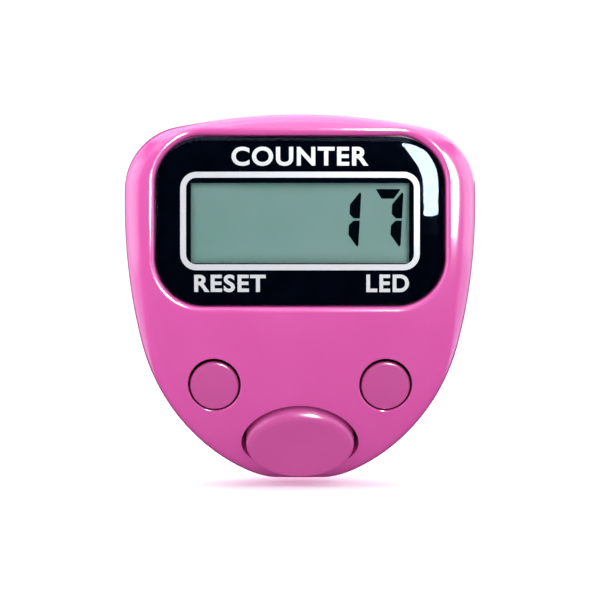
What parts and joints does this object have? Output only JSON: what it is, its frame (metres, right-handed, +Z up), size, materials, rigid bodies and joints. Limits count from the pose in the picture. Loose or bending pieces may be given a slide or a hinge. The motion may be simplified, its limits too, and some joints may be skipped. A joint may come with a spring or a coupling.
{
  "type": "finger ring tally counter",
  "caption": "Digital tally counter worn on a finger: rounded case with LCD window, count, reset and light buttons, concave rest and strap loop.",
  "frame": {"origin": "centre of the round finger loop, on the plane of symmetry", "axes": "+X along the finger, to the right of the display; +Y from the display to the strap; +Z up the display"},
  "size_m": [0.033, 0.0415, 0.0354],
  "materials": {
    "case_plastic": "moulded, satin gloss",
    "button_plastic": "moulded, satin gloss",
    "window": "polished clear",
    "black_print": "printed black",
    "lcd": "grey-green polarizer",
    "white_plastic": "moulded",
    "dome_rubber": "silicone",
    "circuit_board": "glass epoxy with solder mask",
    "steel": "nickel plated",
    "wire": "insulated wire"
  },
  "bodies": {
    "case": {"front_shell": "case_plastic", "back_cover": "case_plastic", "display_window": "window", "window_mask": "black_print", "front_polarizer": "lcd", "lcd_glass_front": "window", "lcd_glass_rear": "window", "rear_polarizer": "lcd", "backlight_diffuser": "white_plastic", "zebra_strip": "dome_rubber", "lcd_holder": "white_plastic", "backlight_led": "white_plastic", "main_board": "circuit_board", "board_screws": "steel", "chip_blob": "black_print", "board_resistors": "black_print", "battery_left": "steel", "battery_right": "steel", "battery_tray": "white_plastic", "battery_contacts": "steel", "battery_bridge": "steel", "reset_dome": "dome_rubber", "led_dome": "dome_rubber", "count_dome": "dome_rubber", "switch_board": "circuit_board", "switch_wires": "wire"},
    "strap": {"ring_strap": "case_plastic"},
    "count_key": {"count_button": "button_plastic", "count_pill": "black_print"},
    "reset_key": {"reset_button": "button_plastic", "reset_pill": "black_print"},
    "led_key": {"led_button": "button_plastic", "led_pill": "black_print"}
  },
  "joints": [
    {"name": "strap_flex", "type": "hinge", "parent": "case", "child": "strap", "pos_m": [0, -0.001, -0.01265], "axis": [-1, 0, 0], "range_deg": [-3, 9], "stiffness_Nm_per_rad": 0.03},
    {"name": "count_press", "type": "slide", "parent": "case", "child": "count_key", "axis": [0, 0.6157, 0.788], "range_m": [0, 0.00058], "stiffness_N_per_m": 1800, "deforming": ["count_dome"]},
    {"name": "reset_press", "type": "slide", "parent": "case", "child": "reset_key", "axis": [0, 1, 0], "range_m": [0, 0.00048], "stiffness_N_per_m": 1500, "deforming": ["reset_dome"]},
    {"name": "led_press", "type": "slide", "parent": "case", "child": "led_key", "axis": [0, 1, 0], "range_m": [0, 0.00048], "stiffness_N_per_m": 1500, "deforming": ["led_dome"]}
  ]
}
